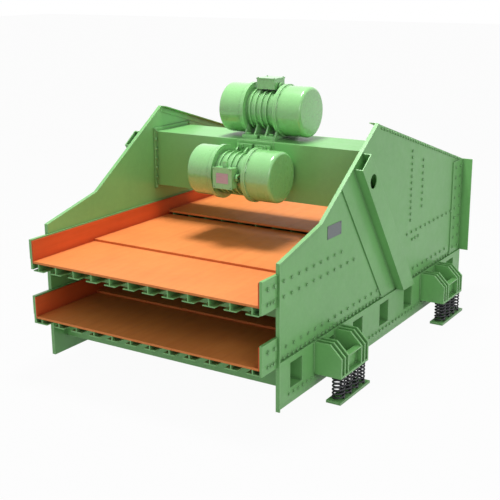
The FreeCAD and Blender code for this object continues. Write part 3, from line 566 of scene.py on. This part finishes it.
def motor_cover(name, side):
    """A pressed cover with a rounded rim and its flange, in place of the bevelled CAD one."""
    node = "%s_cover_%s" % (name, side)
    low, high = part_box(node)
    sign = 1 if side == "right" else -1
    start = low[0] if sign > 0 else high[0]
    middle = Vector((start,) + shaft_centre(name))
    flange = (high[1] - low[1]) / 2
    shell = flange - STEP
    length = high[0] - low[0]
    outline = [(0, length - WALL), (shell - RIM, length - WALL), (shell - WALL, length - RIM),
               (shell - WALL, 0), (flange - 0.002, 0), (flange, 0.002), (flange, RING - 0.002),
               (flange - 0.002, RING), (shell + 0.004, RING), (shell, RING + 0.004)]
    for i in range(9):
        turn = math.pi / 2 * i / 8
        outline.append((shell - RIM + RIM * math.cos(turn), length - RIM + RIM * math.sin(turn)))
    outline.append((0, length))
    cover = piece("%s_shell_%s" % (name, side), lambda m: lathe(m, outline, middle, (sign, 0, 0), 96),
                  "motor_green", "screen_box")
    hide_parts(node)
    reach = shell + STEP / 2
    spots = []
    for i in range(COVER_BOLTS):
        turn = 2 * math.pi * (i + 0.5) / COVER_BOLTS
        spots.append((middle + Vector((sign * RING, reach * math.cos(turn), reach * math.sin(turn))),
                      (sign, 0, 0), 0.0072))
    bolt_rows("%s_cover_bolts_%s" % (name, side), spots)


def lid_screws(name, axis, sign):
    """Four screws on the lid of a terminal box; axis is the one that the lid faces along."""
    low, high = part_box(name + "_terminal_box")
    other = 3 - axis
    face = high[axis] if sign > 0 else low[axis]
    direction = Vector((0, 0, 0))
    direction[axis] = sign
    centre = shaft_centre(name)[other - 1]
    spots = []
    for x in (low[0] + LID_INSET, high[0] - LID_INSET):
        for step in (LID_INSET - LID_HALF, LID_HALF - LID_INSET):
            spot = Vector((x, 0, 0))
            spot[axis] = face
            spot[other] = centre + step
            spots.append((spot, direction, 0.0075))
    bolt_rows(name + "_lid_screws", spots)


def motor_label():
    """Bare label on the lid of the lower motor's terminal box."""
    low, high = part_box("lower_motor_terminal_box")
    middle = (low[0] + high[0]) / 2
    level = shaft_centre("lower_motor")[1]
    wide, tall = LABEL_HALF

    def build(mesh):
        place = Matrix(((1, 0, 0, middle), (0, 0, -1, low[1]), (0, 1, 0, level), (0, 0, 0, 1)))
        prism(mesh, [(-wide, -tall), (wide, -tall), (wide, tall), (-wide, tall)], place, 0.0015)
    label = piece("motor_label", build, "plate_metal", "screen_box")
    label.data.materials[0] = metal("label_pale", srgb(196, 172, 180), 0.5, (4.0, 120.0, 120.0), 0.0)


for name in ("upper_motor", "lower_motor"):
    for side in ("left", "right"):
        motor_cover(name, side)
lid_screws("upper_motor", 2, 1)
lid_screws("lower_motor", 1, -1)
motor_label()


# ---------------------------------------------------------------- camera, light, floor

CAMERA_PLACE = (5.0217, -8.2904, 3.5665)
CAMERA_TURN = (32.343, -15.737, -0.343)      # yaw, pitch and roll in degrees
LENS = 71.08
SKY = (0.97, 0.985, 1.0, 1)
# Soft light from the sky: direction that it comes from, and its strength there.
SKY_SIDES = (((0.80, -0.60, 0.0), 0.62), ((-0.80, 0.60, 0.0), 0.42))
SKY_BELOW = (((0.0, 0.0, -1.0), 0.35),)
FLOOR_GLOW = 0.96       # how much of the floor's own white the eye sees, the rest is lit
FLOOR_HALF = 60.0
FLOOR_Z = -0.001


def make_camera():
    """The camera of the main view."""
    yaw, pitch, roll = (math.radians(value) for value in CAMERA_TURN)
    ahead = Vector((-math.sin(yaw) * math.cos(pitch), math.cos(yaw) * math.cos(pitch), math.sin(pitch)))
    right = Vector((math.cos(yaw), math.sin(yaw), 0))
    up = right.cross(ahead)
    right, up = (right * math.cos(roll) + up * math.sin(roll), up * math.cos(roll) - right * math.sin(roll))
    data = bpy.data.cameras.new("camera")
    data.lens = LENS
    data.sensor_width = 36.0
    data.clip_end = 200.0
    camera = bpy.data.objects.new("camera", data)
    bpy.context.collection.objects.link(camera)
    camera.matrix_world = Matrix.Translation(CAMERA_PLACE) @ Matrix(
        (right, up, -ahead)).transposed().to_4x4()
    bpy.context.scene.camera = camera


def seen_ray(tree):
    """1 on rays that show in the picture or in a reflection, else 0."""
    path = tree.nodes.new("ShaderNodeLightPath")
    total = None
    for name in ("Is Camera Ray", "Is Glossy Ray", "Is Transmission Ray"):
        if total is None:
            total = path.outputs[name]
            continue
        node = tree.nodes.new("ShaderNodeMath")
        node.operation = "MAXIMUM"
        tree.links.new(total, node.inputs[0])
        tree.links.new(path.outputs[name], node.inputs[1])
        total = node.outputs[0]
    return total


def make_world():
    """White to the eye; as a light it comes from the right, the left and below, least from above."""
    world = bpy.data.worlds.new("studio")
    bpy.context.scene.world = world
    world.use_nodes = True
    tree = world.node_tree
    back = tree.nodes["Background"]
    back.inputs["Color"].default_value = SKY
    place = tree.nodes.new("ShaderNodeTexCoord")
    total = None
    for direction, share in SKY_SIDES + SKY_BELOW:
        level = direction[2] == 0
        dot = tree.nodes.new("ShaderNodeVectorMath")
        dot.operation = "DOT_PRODUCT"
        dot.inputs[1].default_value = direction
        tree.links.new(place.outputs["Generated"], dot.inputs[0])
        lobe = tree.nodes.new("ShaderNodeMapRange")
        lobe.inputs["From Min"].default_value = -0.4 if level else -1.0
        lobe.inputs["From Max"].default_value = 1.0 if level else 0.2
        lobe.inputs["To Max"].default_value = share
        tree.links.new(dot.outputs["Value"], lobe.inputs["Value"])
        if total is None:
            total = lobe.outputs["Result"]
            continue
        more = tree.nodes.new("ShaderNodeMath")
        tree.links.new(total, more.inputs[0])
        tree.links.new(lobe.outputs["Result"], more.inputs[1])
        total = more.outputs[0]
    tree.links.new(total, back.inputs["Strength"])
    white = tree.nodes.new("ShaderNodeBackground")
    white.inputs["Color"].default_value = (1, 1, 1, 1)
    white.inputs["Strength"].default_value = 1.0
    mix = tree.nodes.new("ShaderNodeMixShader")
    tree.links.new(seen_ray(tree), mix.inputs[0])
    tree.links.new(back.outputs[0], mix.inputs[1])
    tree.links.new(white.outputs[0], mix.inputs[2])
    tree.links.new(mix.outputs[0], tree.nodes["World Output"].inputs["Surface"])


def area_light(name, place, target, size, power):
    """A round lamp at a place, turned to a target."""
    data = bpy.data.lights.new(name, "AREA")
    data.shape = "DISK"
    data.size = size
    data.energy = power
    lamp = bpy.data.objects.new(name, data)
    bpy.context.collection.objects.link(lamp)
    lamp.location = place
    lamp.rotation_euler = (Vector(target) - Vector(place)).to_track_quat("-Z", "Y").to_euler()


def make_floor():
    """A pale floor that keeps the machine's shadow."""
    g = Graph("studio_floor")
    grain = g.ramp(g.noise(6.0, 3.0), 0.3, 0.7, (0.42, 0.44))
    colour = g.add("ShaderNodeCombineColor")
    for i in range(3):
        g.join(grain, colour.inputs[i])
    g.finish(colour.outputs[0], 0.9)
    glow = g.add("ShaderNodeEmission")
    glow.inputs["Color"].default_value = (1, 1, 1, 1)
    glow.inputs["Strength"].default_value = 1.0
    mix = g.add("ShaderNodeMixShader")
    g.join(g.math("MULTIPLY", seen_ray(g.tree), FLOOR_GLOW), mix.inputs[0])
    g.join(g.shader.outputs[0], mix.inputs[1])
    g.join(glow.outputs[0], mix.inputs[2])
    g.join(mix.outputs[0], g.tree.nodes["Material Output"].inputs["Surface"])
    mesh = bpy.data.meshes.new("floor")
    corners = ((-1, -1), (1, -1), (1, 1), (-1, 1))
    mesh.from_pydata([(x * FLOOR_HALF, y * FLOOR_HALF, FLOOR_Z) for x, y in corners], [], [(0, 1, 2, 3)])
    floor = bpy.data.objects.new("floor", mesh)
    bpy.context.collection.objects.link(floor)
    mesh.materials.append(g.material)


make_camera()
make_world()
make_floor()
area_light("key_top", (-0.6, 0.2, 10.0), (0, 0, 1.0), 2.6, 850)
area_light("key_right", (9.0, -5.0, 5.5), (0, 0, 1.2), 4.0, 150)

bpy.context.scene.view_settings.view_transform = "Standard"
